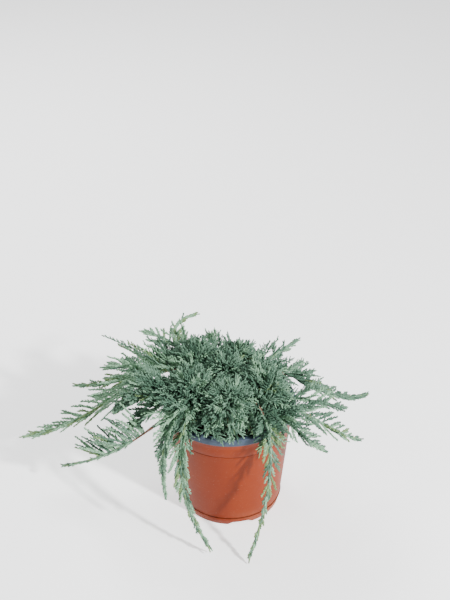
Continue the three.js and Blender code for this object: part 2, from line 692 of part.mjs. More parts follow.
addPiece('pot', makePot(), COLOURS.terracotta);
addPiece('growing_medium', makeMedium(), COLOURS.medium);
addPiece('trunk', makeTrunk(0), COLOURS.bark);

masses.forEach((mass, index) => {
  const { shoot, route } = mass;
  if (shoot.bare) {
    const end = stepAlong(route, shoot.bare, -CLEARANCE / 2);
    const bough = makeLimb(
      route, shoot.azimuth, 0, end, BOUGH_ROOT_RADIUS, BOUGH_TIP_RADIUS, BOUGH_SIDES);
    addPiece(`bough_${shoot.name}`, bough.subtract(trunkWithGap), COLOURS.bark);
  }
  const foliage = growMass(mass, masses, index + 1);
  addPiece(`foliage_${shoot.name}`, shoot.bare ? foliage : foliage.subtract(trunkWithGap),
    COLOURS.foliage);
});

export default juniper;
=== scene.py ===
# %% [markdown]
# # A creeping juniper in its nursery pot
#
# The imported CAD model gives the places: a pot, its growing medium, a short trunk, the boughs, and
# one plain solid for each mass of foliage. This lesson dresses it, in a studio's usual order: the
# camera and the light, the pot, the leaves and the wood.
#
# Everything new is made in metres at the place that the frame gives.

# %% Load the frame
from math import cos, exp, hypot, pi, radians, sin, sqrt, tan

import bmesh
import bpy
import numpy as np
from mathutils import Matrix, Vector, noise


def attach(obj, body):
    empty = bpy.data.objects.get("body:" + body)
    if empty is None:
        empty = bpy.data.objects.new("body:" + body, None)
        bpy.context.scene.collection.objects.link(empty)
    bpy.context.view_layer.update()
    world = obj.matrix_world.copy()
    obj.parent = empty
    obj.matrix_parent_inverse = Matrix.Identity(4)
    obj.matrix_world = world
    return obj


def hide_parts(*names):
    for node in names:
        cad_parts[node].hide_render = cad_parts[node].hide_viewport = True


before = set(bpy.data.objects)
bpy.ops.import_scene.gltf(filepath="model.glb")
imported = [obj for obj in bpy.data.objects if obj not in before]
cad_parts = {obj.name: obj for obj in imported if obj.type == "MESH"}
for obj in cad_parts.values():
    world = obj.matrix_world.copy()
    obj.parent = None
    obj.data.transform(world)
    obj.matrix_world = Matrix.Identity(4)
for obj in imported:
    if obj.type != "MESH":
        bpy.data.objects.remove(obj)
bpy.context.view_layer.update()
masses = sorted(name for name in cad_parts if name.startswith("foliage_"))
boughs = sorted(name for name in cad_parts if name.startswith("bough_"))
print("frame:", len(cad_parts), "nodes,", len(masses), "masses,", len(boughs), "boughs")

# %% [markdown]
# ## Camera
#
# A photograph is matched by a camera in the same place, not by bending the model. The pot's rim,
# groove and foot are circles of known size, so fitting them to the photograph gives the camera's
# distance and height. It looks down by about 33 degrees, from 1.6 metres away, with a long lens
# that flattens the perspective.

# %% Camera
CAMERA_PLACE = (-0.0041, -1.2233, 1.0919)
CAMERA_PITCH = 0.5706
CAMERA_ROLL = -0.0136
LENS = 72


def placed(name, data):
    made = bpy.data.objects.new(name, data)
    bpy.context.scene.collection.objects.link(made)
    return made


camera = placed("camera", bpy.data.cameras.new("camera"))
camera.data.lens = LENS
turn_down = Matrix.Rotation(pi / 2 - CAMERA_PITCH, 4, "X")
roll = Matrix.Rotation(CAMERA_ROLL, 4, "Z")
camera.matrix_world = Matrix.Translation(CAMERA_PLACE) @ turn_down @ roll
bpy.context.scene.camera = camera
print("camera at", CAMERA_PLACE)

# %% [markdown]
# ## Light
#
# Nursery pictures are taken on white paper in a bright studio. A small strong lamp at the upper
# right makes the hanging shoots throw clear shadows on the pot. A wide weak lamp fills the left, a
# wide one behind the plant lights the tops of the back shoots, and a pale sky keeps the shade
# open. The floor comes last, as a stage, so that it isn't counted as a part of the plant.

# %% Light
def add_lamp(name, place, width, power, aim):
    lamp = placed(name, bpy.data.lights.new(name, "AREA"))
    lamp.data.shape = "DISK"
    lamp.data.size = width
    lamp.data.energy = power
    turn = (Vector(aim) - Vector(place)).to_track_quat("-Z", "Y")
    lamp.matrix_world = Matrix.Translation(place) @ turn.to_matrix().to_4x4()


CROWN_MIDDLE = (-0.02, 0, 0.15)
LAMPS = {
    "key_lamp": ((1.25, -1.25, 1.35), 0.14, 100),
    "fill_lamp": ((-1.6, -0.6, 1.5), 1.2, 11),
    "back_lamp": ((-0.8, 1.3, 1.6), 1.0, 50),
}
SKY_COLOUR = (0.93, 0.96, 1, 1)
SKY_STRENGTH = 0.16

for name, (place, width, power) in LAMPS.items():
    add_lamp(name, place, width, power, CROWN_MIDDLE)

sky = bpy.data.worlds.new("sky")
sky.use_nodes = True
background = sky.node_tree.nodes["Background"]
background.inputs["Color"].default_value = SKY_COLOUR
background.inputs["Strength"].default_value = SKY_STRENGTH
bpy.context.scene.world = sky
print("lamps:", len(LAMPS), "with a pale sky")

# %% [markdown]
# ## Shader arithmetic
#
# A material is a small program: numbers at each point of the surface become a colour, a roughness
# or a bump. Wiring Math nodes by hand hides what they compute, so this class wraps a socket and
# lets Python's operators add the nodes. Any other node comes from its one method, which takes the
# node's type, its settings and its inputs.

# %% Socket wrapper
class Channel:
    """An output socket that can be used in an expression."""

    def __init__(self, tree, socket):
        self.tree = tree
        self.socket = socket

    def node(self, kind, settings, inputs, output=0):
        made = self.tree.nodes.new(kind)
        for name, value in settings.items():
            setattr(made, name, value)
        for name, value in inputs.items():
            if isinstance(value, Channel):
                self.tree.links.new(value.socket, made.inputs[name])
            else:
                made.inputs[name].default_value = value
        return Channel(self.tree, made.outputs[output])

    def math(self, operation, first, second=0.0):
        return self.node("ShaderNodeMath", {"operation": operation}, {0: first, 1: second})

    def __add__(self, other):
        return self.math("ADD", self, other)

    def __radd__(self, other):
        return self.math("ADD", other, self)

    def __sub__(self, other):
        return self.math("SUBTRACT", self, other)

    def __rsub__(self, other):
        return self.math("SUBTRACT", other, self)

    def __mul__(self, other):
        return self.math("MULTIPLY", self, other)

    def __rmul__(self, other):
        return self.math("MULTIPLY", other, self)

    def __gt__(self, other):
        return self.math("GREATER_THAN", self, other)

    def __lt__(self, other):
        return self.math("LESS_THAN", self, other)


print("operators: + - * > <")

# %% [markdown]
# The helpers on top of that class start a material, make cloudy noise, turn a number into a
# smooth step between two levels, mix two colours and raise a bump. All patterns read Object
# coordinates, which are metres in the frame because every piece sits at the origin. Colours are
# written from 0 to 255 and turned into the linear values that the shader works with. A Mix node
# has inputs and a result for every type of data, so those of colours are picked by number.

# %% Material helpers
MIX_FIRST, MIX_SECOND, MIX_RESULT = 6, 7, 2


def linear(red, green, blue):
    def one(value):
        value = value / 255
        return value / 12.92 if value <= 0.04045 else ((value + 0.055) / 1.055) ** 2.4
    return (one(red), one(green), one(blue), 1.0)


def start_finish(name):
    material = bpy.data.materials.new(name)
    material.use_nodes = True
    tree = material.node_tree
    place = Channel(tree, tree.nodes.new("ShaderNodeTexCoord").outputs["Object"])
    return material, tree.nodes["Principled BSDF"], place


def stretched(place, scale):
    return place.node("ShaderNodeMapping", {}, {"Vector": place, "Scale": scale})


def clouds(place, scale, detail=3.0, roughness=0.5):
    return place.node("ShaderNodeTexNoise", {}, {
        "Vector": place, "Scale": scale, "Detail": detail, "Roughness": roughness})


def step(value, low, high):
    return value.node("ShaderNodeMapRange", {"interpolation_type": "SMOOTHSTEP"}, {
        "Value": value, "From Min": low, "From Max": high})


def mixed(factor, first, second):
    inputs = {"Factor": factor, MIX_FIRST: first, MIX_SECOND: second}
    return factor.node("ShaderNodeMix", {"data_type": "RGBA"}, inputs, output=MIX_RESULT)


def feed(shader, name, channel):
    channel.tree.links.new(channel.socket, shader.inputs[name])


def raised(shader, height, distance):
    bump = height.node("ShaderNodeBump", {}, {"Height": height, "Distance": distance})
    feed(shader, "Normal", bump)


print("middle grey in linear light:", round(linear(128, 128, 128)[0], 3))

# %% [markdown]
# ## Finish of the pot
#
# The pot is thin blow-moulded plastic in terracotta red, with its collar in a cool grey-blue. Up
# close such plastic isn't one colour: the mould leaves faint rings, handling leaves small pale
# scuffs, and dust lies low on the wall. Painted shade darkens thin lines under the collar, under
# the upper band and above the foot, where shadows fall in the seams. The height finds the collar,
# so one material serves the whole pot.

# %% Pot finish
POT_HEIGHT = 0.157
RIM_RADIUS = 0.085
COLLAR_HEIGHT = 0.0096
COLLAR_BOTTOM = POT_HEIGHT - COLLAR_HEIGHT
GROOVE_HEIGHT = POT_HEIGHT - 0.0318
FOOT_HEIGHT = 0.0119
SHADE_LINE_WIDTH = 0.0013
DUST_HEIGHT = 0.03


# Painted shade: a thin band just under a height, darkened below as the shadow in a seam.
def painted_shade_line(height, top):
    return (height > top - SHADE_LINE_WIDTH) * (height < top)


POT_FINISH, shader, place = start_finish("terracotta_plastic")
height = place.node("ShaderNodeSeparateXYZ", {}, {"Vector": place}, output=2)
rings = clouds(stretched(place, (3, 3, 420)), 1.0, 2.0)
patches = clouds(stretched(place, (22, 22, 9)), 1.0, 3.0)
scuffs = step(clouds(stretched(place, (260, 260, 700)), 1.0, 2.0), 0.70, 0.78)
specks = step(clouds(place, 1500.0, 0.0), 0.80, 0.86)
base = mixed(step(patches, 0.35, 0.7), linear(115, 38, 3), linear(125, 45, 6))
base = mixed(0.25 * rings, base, linear(98, 30, 4))
dust = step(DUST_HEIGHT - height, 0.0, DUST_HEIGHT) * step(patches, 0.4, 0.6) * 0.2
base = mixed(dust, base, linear(176, 118, 88))
base = mixed(scuffs * 0.28, base, linear(206, 150, 122))
base = mixed(specks * 0.2, base, linear(236, 214, 200))
# Painted shade: thin dark lines under the collar, under the upper band and above the foot stand in
# for the shadows in these seams.
painted_seam_shade = painted_shade_line(height, GROOVE_HEIGHT) + painted_shade_line(height, COLLAR_BOTTOM)
painted_seam_shade = painted_seam_shade + painted_shade_line(height, FOOT_HEIGHT + SHADE_LINE_WIDTH)
base = mixed(painted_seam_shade * 0.6, base, linear(46, 18, 6))
on_collar = height > COLLAR_BOTTOM - 0.0001
streaks = step(clouds(stretched(place, (70, 70, 2600)), 1.0, 2.0), 0.5, 0.75)
collar = mixed(streaks * 0.5, linear(58, 69, 84), linear(94, 105, 120))
collar = mixed(scuffs * 0.4, collar, linear(190, 198, 204))
feed(shader, "Base Color", mixed(on_collar, base, collar))
feed(shader, "Roughness", 0.42 + 0.16 * patches + 0.18 * scuffs)
raised(shader, rings + 0.6 * scuffs + 0.4 * clouds(place, 900.0), 0.00012)
shader.inputs["Specular IOR Level"].default_value = 0.15
print("pot finish:", len(POT_FINISH.node_tree.nodes), "nodes")

# %% [markdown]
# ## Modelling the pot
#
# A round pot is a profile turned about its axis. The profile is a chain of points, from the
# middle of the underside, up the outside, over the rolled rim and down the inside. Arcs round the
# rim and the foot, and a narrow step makes the groove where the upper band is wider than the wall.

# %% Pot section
def arc(centre_radius, centre_height, radius, start, end, count=5):
    angles = [radians(start + (end - start) * i / count) for i in range(count + 1)]
    return [(centre_radius + radius * cos(a), centre_height + radius * sin(a))
            for a in angles]


WALL_TOP_RADIUS = RIM_RADIUS - 0.0033
FOOT_TOP_RADIUS = 0.0672
WALL_THICKNESS = 0.003
FLOOR_LIFT = 0.005
FLOOR_TOP = 0.0074


def wall_radius(height):
    share = (height - FOOT_HEIGHT) / (COLLAR_BOTTOM - FOOT_HEIGHT)
    return FOOT_TOP_RADIUS + share * (WALL_TOP_RADIUS - FOOT_TOP_RADIUS)


def pot_section():
    foot_inner = 0.0551
    section = [(0, 0), (0.0176, 0), *arc(0.0176, 0.0004, 0.0004, -90, 0, 2),
               (0.018, FLOOR_LIFT), (foot_inner, FLOOR_LIFT), (foot_inner, 0.0006),
               (foot_inner + 0.0006, 0), *arc(0.0633, 0.0008, 0.0008, -90, -8, 3),
               (0.0655, 0.0058), (FOOT_TOP_RADIUS, FOOT_HEIGHT - 0.0003),
               (FOOT_TOP_RADIUS - 0.0002, FOOT_HEIGHT + 0.0002),
               (FOOT_TOP_RADIUS - 0.0009, FOOT_HEIGHT + 0.0004),
               (FOOT_TOP_RADIUS - 0.0007, FOOT_HEIGHT + 0.0016)]
    for height in (0.03, 0.055, 0.08, 0.105):
        section.append((wall_radius(height) - 0.0008, height))
    radius = wall_radius(GROOVE_HEIGHT)
    section += [(radius - 0.0008, GROOVE_HEIGHT - 0.0016), (radius - 0.0013, GROOVE_HEIGHT - 0.001),
                (radius - 0.0013, GROOVE_HEIGHT - 0.0004), (radius - 0.0002, GROOVE_HEIGHT),
                (radius, GROOVE_HEIGHT + 0.0004), (wall_radius(0.136), 0.136),
                (WALL_TOP_RADIUS, COLLAR_BOTTOM - 0.0002),
                (WALL_TOP_RADIUS + 0.0002, COLLAR_BOTTOM)]
    section += arc(RIM_RADIUS - 0.0008, COLLAR_BOTTOM + 0.0008, 0.0008, -90, 0, 3)
    section += [(RIM_RADIUS, POT_HEIGHT - 0.005)]
    section += arc(RIM_RADIUS - 0.0022, POT_HEIGHT - 0.0022, 0.0022, 0, 90)
    inner = wall_radius(COLLAR_BOTTOM) - WALL_THICKNESS
    section += arc(inner + 0.001, POT_HEIGHT - 0.001, 0.001, 90, 180, 3)
    section += [(inner, COLLAR_BOTTOM), (wall_radius(0.08) - WALL_THICKNESS, 0.08),
                (wall_radius(FLOOR_TOP) - WALL_THICKNESS, FLOOR_TOP + 0.001),
                (wall_radius(FLOOR_TOP) - WALL_THICKNESS - 0.001, FLOOR_TOP), (0, FLOOR_TOP)]
    return section


POT_SECTION = pot_section()
print("pot section:", len(POT_SECTION), "points")

# %% [markdown]
# The spin operator turns it, and the skin is closed once the seam and the poles are merged. Four
# low arches through the foot ring let water drain, and six holes go through the floor. A Boolean
# modifier cuts them all, and the result is kept as a plain mesh.

# %% Turn and cut the pot
POT_SIDES = 120
ARCHES, HOLES = 4, 6
FIRST_AZIMUTH = -79
ARCH_FOOT, ARCH_CROWN, ARCH_DEPTH = 0.02546, 0.01414, 0.006
ARCH_PLACE = (0.061, 0, 0.002)
HOLE_RADIUS, HOLE_DEPTH = 0.0045, 0.03
HOLE_CIRCLE, HOLE_HEIGHT = 0.036, 0.006


def turned(section, sides):
    mesh = bmesh.new()
    corners = [mesh.verts.new((radius, 0, height)) for radius, height in section]
    edges = [mesh.edges.new(pair) for pair in zip(corners, corners[1:])]
    bmesh.ops.spin(mesh, geom=corners + edges, cent=(0, 0, 0), axis=(0, 0, 1),
                   angle=2 * pi, steps=sides, use_merge=True, use_duplicate=False)
    bmesh.ops.remove_doubles(mesh, verts=mesh.verts, dist=1e-6)
    bmesh.ops.recalc_face_normals(mesh, faces=mesh.faces)
    return mesh


def add_piece(name, mesh, finish, sharp=None):
    data = bpy.data.meshes.new(name)
    mesh.to_mesh(data)
    mesh.free()
    data.materials.append(finish)
    data.shade_smooth()
    if sharp:
        data.set_sharp_from_angle(angle=radians(sharp))
    return placed(name, data)


def keep_result(piece):
    graph = bpy.context.evaluated_depsgraph_get()
    result = bpy.data.meshes.new_from_object(piece.evaluated_get(graph))
    piece.modifiers.clear()
    piece.data = result


def pot_cutters():
    mesh = bmesh.new()
    for i in range(ARCHES):
        arch = bmesh.ops.create_cone(mesh, cap_ends=True, segments=4, radius1=ARCH_FOOT,
                                     radius2=ARCH_CROWN, depth=ARCH_DEPTH)["verts"]
        bmesh.ops.rotate(mesh, verts=arch, matrix=Matrix.Rotation(pi / 4, 3, "Z"))
        bmesh.ops.translate(mesh, verts=arch, vec=ARCH_PLACE)
        azimuth = radians(FIRST_AZIMUTH + i * 360 / ARCHES)
        bmesh.ops.rotate(mesh, verts=arch, matrix=Matrix.Rotation(azimuth, 3, "Z"))
    for i in range(HOLES):
        hole = bmesh.ops.create_cone(mesh, cap_ends=True, segments=24, radius1=HOLE_RADIUS,
                                     radius2=HOLE_RADIUS, depth=HOLE_DEPTH)["verts"]
        azimuth = radians(FIRST_AZIMUTH + i * 360 / HOLES)
        bmesh.ops.translate(mesh, verts=hole, vec=(
            HOLE_CIRCLE * cos(azimuth), HOLE_CIRCLE * sin(azimuth), HOLE_HEIGHT))
    return mesh


pot = add_piece("nursery_pot", turned(POT_SECTION, POT_SIDES), POT_FINISH)
cutter = add_piece("pot_cutters", pot_cutters(), POT_FINISH)
cut = pot.modifiers.new("drainage", "BOOLEAN")
cut.object = cutter
cut.solver = "EXACT"
keep_result(pot)
pot.data.set_sharp_from_angle(angle=radians(40))
bpy.data.objects.remove(cutter)
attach(pot, "root")
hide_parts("pot")
print("pot:", len(pot.data.polygons), "faces")

# %% [markdown]
# ## Growing medium
#
# Under the leaves the pot is filled with peat and bark, a little below the rim. It hardly shows,
# but in a gap it must read as crumbs and not as a lid. The bed is turned like the pot and noise
# lifts its top. Then crumbs of bark are scattered over it by the golden angle, which spaces points
# evenly on a disc.

# %% Growing medium finish
MEDIUM_FINISH, shader, place = start_finish("peat_and_bark")
grain = clouds(place, 420.0, 4.0, 0.6)
chips = place.node("ShaderNodeTexVoronoi", {}, {"Vector": place, "Scale": 320.0})
colour = mixed(step(grain, 0.35, 0.65), linear(24, 17, 13), linear(66, 48, 36))
colour = mixed(0.5 * step(clouds(place, 90.0), 0.55, 0.7), colour, linear(96, 70, 50))
feed(shader, "Base Color", colour)
feed(shader, "Roughness", 0.85 + 0.15 * grain)
raised(shader, grain + chips, 0.0012)
print("medium finish:", len(MEDIUM_FINISH.node_tree.nodes), "nodes")

# %% Growing medium
MEDIUM_BOTTOM, MEDIUM_TOP = 0.0077, 0.137
MEDIUM_RADIUS = 0.0765
MEDIUM_RISE = 0.003
MEDIUM_GAP = 0.0006
MEDIUM_RINGS = 30
LUMP_HEIGHT, LUMP_SINK = 0.0011, 0.0008
CRUMBS = 420
CRUMB_WIDTH, CRUMB_SIZES = 0.002, (1.1, 1.5)
CRUMB_SHAPE = (1, 0.7, 0.5)
CRUMB_CIRCLE = 0.074
GOLDEN_ANGLE = 137.5


def medium_height(radius):
    share = radius / MEDIUM_RADIUS
    return MEDIUM_TOP + MEDIUM_RISE * (1 - share * share)


def medium_bed():
    edge = wall_radius(MEDIUM_TOP) - WALL_THICKNESS - MEDIUM_GAP
    foot = wall_radius(MEDIUM_BOTTOM) - WALL_THICKNESS - MEDIUM_GAP
    radii = [edge * (1 - i / MEDIUM_RINGS) for i in range(MEDIUM_RINGS + 1)]
    section = [(0, MEDIUM_BOTTOM), (foot, MEDIUM_BOTTOM), (edge, MEDIUM_TOP - 0.002)]
    section += [(radius, medium_height(radius)) for radius in radii]
    mesh = turned(section, POT_SIDES)
    for corner in mesh.verts:
        if corner.co.z > MEDIUM_TOP - 0.001:
            lumps = noise.noise(corner.co * 300) + 0.6 * noise.noise(corner.co * 800)
            corner.co.z += LUMP_HEIGHT * lumps - LUMP_SINK
    return mesh


def add_crumbs(mesh):
    for i in range(CRUMBS):
        radius = CRUMB_CIRCLE * sqrt((i + 0.5) / CRUMBS)
        azimuth = radians(GOLDEN_ANGLE * i)
        size = CRUMB_SIZES[0] + CRUMB_SIZES[1] * noise.noise((i * 3.7, 0.5, 0)) ** 2
        crumb = bmesh.ops.create_cube(mesh, size=CRUMB_WIDTH * size)["verts"]
        turn = Matrix.Rotation(2.4 * i, 3, "Z") @ Matrix.Rotation(1.1 * i, 3, "X")
        bmesh.ops.scale(mesh, verts=crumb, vec=CRUMB_SHAPE)
        bmesh.ops.rotate(mesh, verts=crumb, matrix=turn)
        bmesh.ops.translate(mesh, verts=crumb, vec=(
            radius * cos(azimuth), radius * sin(azimuth),
            medium_height(radius) + 0.0003))
    return mesh


bed = add_piece("growing_medium_bed", add_crumbs(medium_bed()), MEDIUM_FINISH, 30)
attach(bed, "root")
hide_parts("growing_medium")
print("medium:", len(bed.data.polygons), "faces")

# %% [markdown]
# ## How the plant grows
#
# The crown isn't placed twig by twig. Each shoot is one row of a table, and a rule turns the row
# into a curved stem. Both are those of the CAD source, so the leaves stand where its solids are.
# Angles are in degrees with 0 to the right and -90 to the front, and lengths are in millimetres
# until the meshes are made.
#
# A shoot leaves the trunk at its tier, climbs towards its crest and falls to its tip at reach from
# the pot's axis. Ease says how early it falls, belly how far out, and swing bows it sideways.
# The first share of its length, bare, is a bough without foliage. Fan is the length of its longest
# sprays and tilt how far they turn up from lying flat. Round shoots make the mound in the middle.

# %% Shoot table
COLUMNS = ("azimuth", "reach", "tip", "crest", "ease", "belly", "swing", "tier", "bare", "fan",
           "tilt")
SHOOTS = {
    "left_long": (173.7, 276, 75, 247, 1.08, 0.6, -45, 5.2, 0.25, 88, 22),
    "left_second": (165, 212, 140, 232, 1.05, 0.52, -25, 4.1, 0.3, 54, 14),
    "left_upper": (150, 188, 142, 197, 0.6, 0.7, 0, 2.7, 0.36, 48, 12),
    "left_low": (178.8, 224, 45, 211, 0.32, 0.35, 92, 0, 0.58, 46, 80),
    "left_front": (192, 146, 162, 206, 0.5, 0.7, 0, 3, 0.46, 60, 50),
    "left_front_low": (201, 134, 146, 202, 0.4, 0.72, 0, 1, 0.44, 54, 40),
    "left_rear_low": (143, 182, 108, 200, 0.6, 0.7, 0, 0, 0.38, 52, 15),
    "back_left_fan": (132, 165, 180, 194, 0.5, 0.7, 0, 3.5, 0.42, 46, 8),
    "back_left_arc": (109, 136, 203, 190, 0.3, 0.95, 62, 1.9, 0.42, 34, 15),
    "back_left_low": (119, 164, 92, 202, 0.5, 0.74, 0, 1, 0.42, 52, 15),
    "back_mid": (103, 112, 178, 190, 0.6, 0.66, 0, 5, 0.42, 34, 12),
    "back_hang": (86, 126, 52, 196, 0.05, 0.82, 0, 2, 0.46, 46, 12),
    "back_right_low": (61, 156, 98, 200, 0.5, 0.74, 0, 0, 0.44, 46, 15),
    "back_right": (47, 132, 178, 180, 0.6, 0.79, 0, 3, 0.48, 28, 8),
    "right_rear_low": (40, 110, 150, 180, 0.6, 0.7, 0, 1, 0.42, 26, 12),
    "right_upper": (19.4, 195, 112, 242, 1.1, 0.67, -5, 4, 0.34, 40, 12),
    "right_mid": (0, 149, 140, 186, 0.2, 0.8, -36, 1, 0.44, 42, 22),
    "right_low": (-9, 168, 108, 200, 0.5, 0.74, -40, 2, 0.42, 46, 20),
    "right_lowest": (-31, 136, 128, 205, 0.5, 0.73, -24, 0, 0.46, 48, 20),
    "hang_right": (-81, 137, 10, 222, 0.14, 0.9, 52, 3, 0.44, 36, 12),
    "hang_left": (-102.4, 123, 12, 248, 0.44, 0.98, -66, 3, 0.44, 42, 12),
    "hang_left_outer": (-127, 134, 88, 206, 0.04, 0.9, -24, 2, 0.4, 54, 12),
    "front_right": (-69, 84, 166, 186, 0.4, 0.7, 0, 1, 0.3, 34, 30),
    "front_short": (-90, 88, 162, 188, 0.4, 0.8, 0, 0, 0.3, 34, 15),
    "front_left": (-110, 84, 166, 186, 0.4, 0.7, 0, 1, 0.3, 34, 30),
    "mound_top": (110, 16, 196, 192, 0, 0.7, 0, 6, 0, 25, None),
    "mound_front": (-92, 82, 178, 194, 0, 0.7, 0, 6, 0, 34, None),
    "mound_front_right": (-38, 84, 176, 192, 0, 0.7, 0, 6, 0, 34, None),
    "mound_right": (-14, 60, 178, 194, 0, 0.7, 0, 6, 0, 28, None),
    "mound_back": (74, 74, 170, 190, 0, 0.7, 0, 6, 0, 26, None),
    "mound_left": (140, 86, 182, 196, 0, 0.7, 0, 6, 0, 32, None),
    "mound_front_left": (-148, 88, 178, 194, 0, 0.7, 0, 6, 0, 34, None),
}
shoots = [dict(zip(COLUMNS, row), name=name) for name, row in SHOOTS.items()]
print("shoots:", len(shoots), "of them round:", sum(shoot["tilt"] is None for shoot in shoots))

# %% [markdown]
# A stem is a cubic Bezier curve, because four points are enough for a rise, a crest and a fall.
# The random numbers come from the source's small generator, so each run grows the same plant.

# %% Stems
TRUNK_FOOT = 140.3
TRUNK_HEIGHT = 46
TRUNK_LEAN = tan(radians(3))
FIRST_TIER = 145.5
TIER_PITCH = 5.5
CLIMB_SHARE = 0.35
CLIMB_SWAY = 0.4
BELLY_SWAY = 1.2
SEED_STEP = 104729
MULTIPLIER = 16807
MODULUS = 2147483647
LENGTH_STOPS = 200


def seeded_random(seed):
    state = seed * SEED_STEP

    def draw():
        nonlocal state
        state = state * MULTIPLIER % MODULUS
        return state / MODULUS
    return draw


def polar(azimuth, radius, height):
    angle = radians(azimuth)
    return Vector((radius * cos(angle), radius * sin(angle), height))


def stem_points(shoot):
    out, side = polar(shoot["azimuth"], 1, 0), polar(shoot["azimuth"] + 90, 1, 0)
    root = FIRST_TIER + shoot["tier"] * TIER_PITCH

    def place(share, sway, height):
        return out * shoot["reach"] * share + side * shoot["swing"] * sway + Vector((0, 0, height))
    fall = shoot["ease"] * (shoot["crest"] - shoot["tip"])
    return (Vector((-(root - TRUNK_FOOT) * TRUNK_LEAN, 0, root)),
            place(CLIMB_SHARE, CLIMB_SWAY, shoot["crest"]),
            place(shoot["belly"], BELLY_SWAY, shoot["crest"] - fall),
            place(1, 0, shoot["tip"]))


def on_stem(points, t):
    a, b, c, d = points
    s = 1 - t
    return a * s ** 3 + b * 3 * s * s * t + c * 3 * s * t * t + d * t ** 3


def along_stem(points, t):
    a, b, c, d = points
    s = 1 - t
    return ((b - a) * s * s + (c - b) * 2 * s * t + (d - c) * t * t).normalized()


def stem_length(points):
    stops = [on_stem(points, i / LENGTH_STOPS) for i in range(LENGTH_STOPS + 1)]
    return sum((b - a).length for a, b in zip(stops, stops[1:]))


for shoot in shoots:
    shoot["points"] = stem_points(shoot)
    shoot["length"] = stem_length(shoot["points"])
print("stems, in all:", round(sum(shoot["length"] for shoot in shoots)), "mm")

# %% [markdown]
# ## Sprays
#
# A juniper's foliage is built in three orders. Side twigs leave the stem, small branchlets leave
# the side twigs in a plane, like the barbs of a feather, and tight scale leaves cover them all.
# A side twig with its branchlets is a spray. The rule gives each spray a root on the stem, a
# direction that leans forward and to one hand, and a length that falls towards the tip. Over the
# pot the sprays stand up all round, and past the rim they spread in a flat fan.
#
# The source grows one spray in each step along the stem. Here two more grow there, or as many as
# DENSE gives. Sprays lean less near the tips and on the hanging shoots, where they lie close to
# the stem. The low left shoot is a comb: its first side twigs stand back, they keep most of their
# length, and its last third is a slim tail.

# %% Spray settings
SPRAY_SPACING = 11.2
SHORT_SHOOT_SPACING = 6.5
MOUND_RADIUS, OPEN_RADIUS = 60, 115
MOUND_TILT = 75
MOUND_SPREAD, OPEN_SPREAD = 120, 40
MOUND_LEAN, SPRAY_LEAN = 58, 44
FIRST_LEAN = {"left_low": 105}
TIP_LEAN, HANGING_LEAN = 0.65, 0.65
LEAN_SWAY = 16
TIP_SHARE = 0.15
KEPT = {"left_low": 0.9, "left_upper": 0.45, "back_left_fan": 0.35, "back_mid": 0.5}
LENGTH_PLAY = 0.15
SHORTEST_SPRAY = 12
FIRST_SPRAY, LAST_SPRAY = 0.04, 0.96
COMB_ENDS = {"left_low": 0.66}
PLACE_PLAY, BETWEEN_PLAY = 0.5, 0.6
BETWEEN = 2
BETWEEN_SIZE = 0.85
BETWEEN_SEED = 500
DENSE = {"left_front": 7, "left_front_low": 6, "left_upper": 3, "left_second": 3,
         "front_right": 4, "front_left": 4, "front_short": 3, "left_low": 2, "right_upper": 5,
         "hang_right": 1, "hang_left": 3, "hang_left_outer": 3, "back_left_arc": 0,
         "back_left_fan": 1, "right_lowest": 3, "back_right": 0, "right_mid": 1, "back_mid": 1}
print("sprays between two of the source's:", BETWEEN)

# %% Spray rule
def lerp(first, second, share):
    return first + (second - first) * share


def smoothstep(value, low, high):
    share = min(max((value - low) / (high - low), 0), 1)
    return share * share * (3 - 2 * share)


def swayed(draw, play):
    return play * (draw() - 0.5)


def varied(draw, span):
    """The first number of span, and up to the second more."""
    return span[0] + span[1] * draw()


def frame_at(shoot, t):
    along = along_stem(shoot["points"], t)
    side = polar(shoot["azimuth"] + 90, 1, 0)
    side = (side - along * side.dot(along)).normalized()
    return along, side, along.cross(side)


def leaning(axis, across, beyond, lean, turn):
    """A direction that leans away from axis, turned about it from across towards beyond."""
    sideways = across * cos(turn) + beyond * sin(turn)
    return (axis * cos(lean) + sideways * sin(lean)).normalized()


def spray_on(shoot, t, lean, turn, length, opened=0):
    along, side, lift = frame_at(shoot, t)
    return {"root": on_stem(shoot["points"], t), "forward": along, "length": length,
            "direction": leaning(along, side, lift, lean, turn), "open": opened,
            "shoot": shoot, "share": t}


def spray_at(shoot, t, index, draw, size=1.0):
    hand = 1 if index % 2 else -1
    opened = smoothstep(hypot(*on_stem(shoot["points"], t).xy), MOUND_RADIUS, OPEN_RADIUS)
    tilt = lerp(MOUND_TILT, shoot["tilt"], opened)
    spread = lerp(MOUND_SPREAD, OPEN_SPREAD, opened)
    turn = radians(90 - hand * (90 - tilt - swayed(draw, spread)))
    leafy = max(0, t - shoot["bare"]) / (1 - shoot["bare"])
    lean = lerp(FIRST_LEAN.get(shoot["name"], SPRAY_LEAN), SPRAY_LEAN, leafy)
    lean *= lerp(1, TIP_LEAN, smoothstep(leafy, 0.5, 1))
    if shoot["name"].startswith("hang"):
        lean *= HANGING_LEAN
    lean = radians(lerp(MOUND_LEAN, lean, opened) + swayed(draw, LEAN_SWAY))
    taper = lerp(1, KEPT.get(shoot["name"], TIP_SHARE), leafy)
    length = max(SHORTEST_SPRAY, shoot["fan"] * taper * (1 + LENGTH_PLAY * (2 * draw() - 1)))
    return spray_on(shoot, t, lean, turn, length * size, opened)


